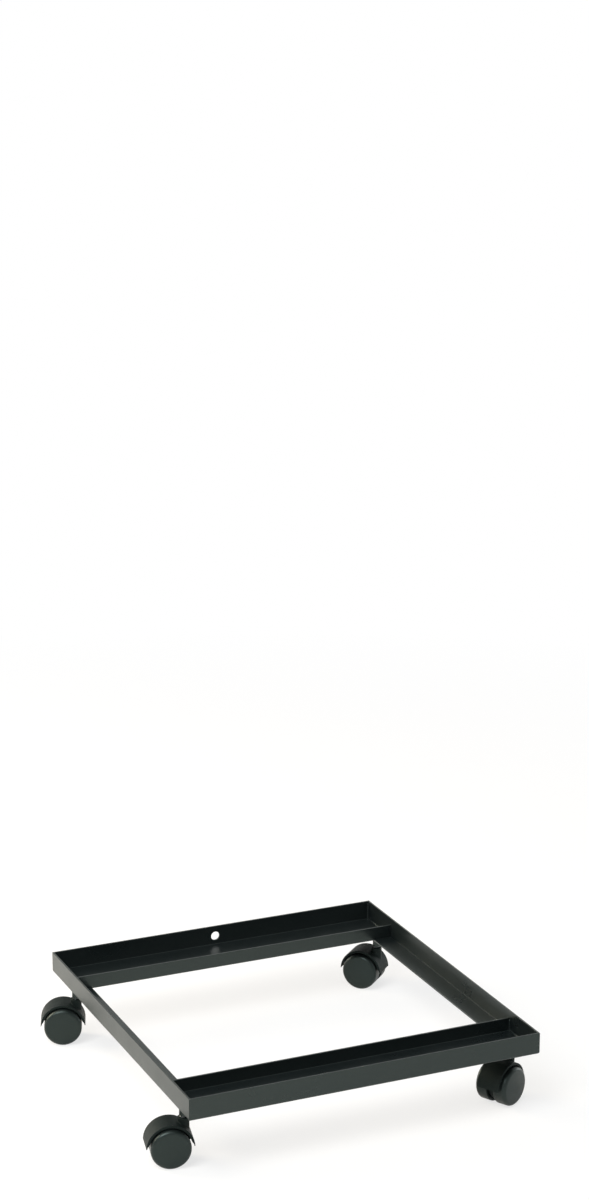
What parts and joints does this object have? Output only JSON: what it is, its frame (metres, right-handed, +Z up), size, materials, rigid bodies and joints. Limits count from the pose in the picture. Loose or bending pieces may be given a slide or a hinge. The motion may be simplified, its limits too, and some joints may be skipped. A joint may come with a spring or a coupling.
{
  "type": "stacking chair trolley",
  "caption": "Low open frame of folded steel channels and angles on hooded twin-wheel swivel castors, for rolling a stack of chairs away.",
  "frame": {"origin": "on the floor, under the middle of the part's box with the castors turned as in the picture", "axes": "+X to the right along the front channel, +Y from front to back, +Z up"},
  "size_m": [0.5234, 0.506, 0.108],
  "materials": {
    "black_painted_steel": "semi-gloss black paint",
    "black_hood_plastic": "satin black",
    "black_wheel_plastic": "satin black",
    "bright_steel": "bright zinc"
  },
  "bodies": {
    "frame": {"front_channel": "black_painted_steel", "back_channel": "black_painted_steel", "left_angle": "black_painted_steel", "right_angle": "black_painted_steel", "fl_socket": "black_painted_steel", "fl_stem": "bright_steel", "fl_grip_ring": "bright_steel", "bl_socket": "black_painted_steel", "bl_stem": "bright_steel", "bl_grip_ring": "bright_steel", "br_socket": "black_painted_steel", "br_stem": "bright_steel", "br_grip_ring": "bright_steel", "fr_socket": "black_painted_steel", "fr_stem": "bright_steel", "fr_grip_ring": "bright_steel"},
    "fl_castor": {"fl_hood": "black_hood_plastic", "fl_axle": "bright_steel"},
    "fl_outer": {"fl_wheel_outer": "black_wheel_plastic"},
    "fl_inner": {"fl_wheel_inner": "black_wheel_plastic"},
    "bl_castor": {"bl_hood": "black_hood_plastic", "bl_axle": "bright_steel"},
    "bl_outer": {"bl_wheel_outer": "black_wheel_plastic"},
    "bl_inner": {"bl_wheel_inner": "black_wheel_plastic"},
    "br_castor": {"br_hood": "black_hood_plastic", "br_axle": "bright_steel"},
    "br_outer": {"br_wheel_outer": "black_wheel_plastic"},
    "br_inner": {"br_wheel_inner": "black_wheel_plastic"},
    "fr_castor": {"fr_hood": "black_hood_plastic", "fr_axle": "bright_steel"},
    "fr_outer": {"fr_wheel_outer": "black_wheel_plastic"},
    "fr_inner": {"fr_wheel_inner": "black_wheel_plastic"}
  },
  "joints": [
    {"name": "fl_swivel", "type": "hinge", "parent": "frame", "child": "fl_castor", "pos_m": [-0.21072, -0.198, 0.061], "axis": [0, 0, 1], "continuous": true},
    {"name": "fl_outer_roll", "type": "hinge", "parent": "fl_castor", "child": "fl_outer", "pos_m": [-0.22826, -0.19395, 0.0255], "axis": [-0.225, -0.9744, 0], "continuous": true},
    {"name": "fl_inner_roll", "type": "hinge", "parent": "fl_castor", "child": "fl_inner", "pos_m": [-0.22826, -0.19395, 0.0255], "axis": [-0.225, -0.9744, 0], "continuous": true},
    {"name": "bl_swivel", "type": "hinge", "parent": "frame", "child": "bl_castor", "pos_m": [-0.21072, 0.198, 0.061], "axis": [0, 0, 1], "continuous": true},
    {"name": "bl_outer_roll", "type": "hinge", "parent": "bl_castor", "child": "bl_outer", "pos_m": [-0.22764, 0.20416, 0.0255], "axis": [-0.342, -0.9397, 0], "continuous": true},
    {"name": "bl_inner_roll", "type": "hinge", "parent": "bl_castor", "child": "bl_inner", "pos_m": [-0.22764, 0.20416, 0.0255], "axis": [-0.342, -0.9397, 0], "continuous": true},
    {"name": "br_swivel", "type": "hinge", "parent": "frame", "child": "br_castor", "pos_m": [0.24128, 0.198, 0.061], "axis": [0, 0, 1], "continuous": true},
    {"name": "br_outer_roll", "type": "hinge", "parent": "br_castor", "child": "br_outer", "pos_m": [0.229, 0.21116, 0.0255], "axis": [-0.7314, -0.682, 0], "continuous": true},
    {"name": "br_inner_roll", "type": "hinge", "parent": "br_castor", "child": "br_inner", "pos_m": [0.229, 0.21116, 0.0255], "axis": [-0.7314, -0.682, 0], "continuous": true},
    {"name": "fr_swivel", "type": "hinge", "parent": "frame", "child": "fr_castor", "pos_m": [0.24128, -0.198, 0.061], "axis": [0, 0, 1], "continuous": true},
    {"name": "fr_outer_roll", "type": "hinge", "parent": "fr_castor", "child": "fr_outer", "pos_m": [0.22539, -0.20645, 0.0255], "axis": [0.4695, -0.8829, 0], "continuous": true},
    {"name": "fr_inner_roll", "type": "hinge", "parent": "fr_castor", "child": "fr_inner", "pos_m": [0.22539, -0.20645, 0.0255], "axis": [0.4695, -0.8829, 0], "continuous": true}
  ]
}
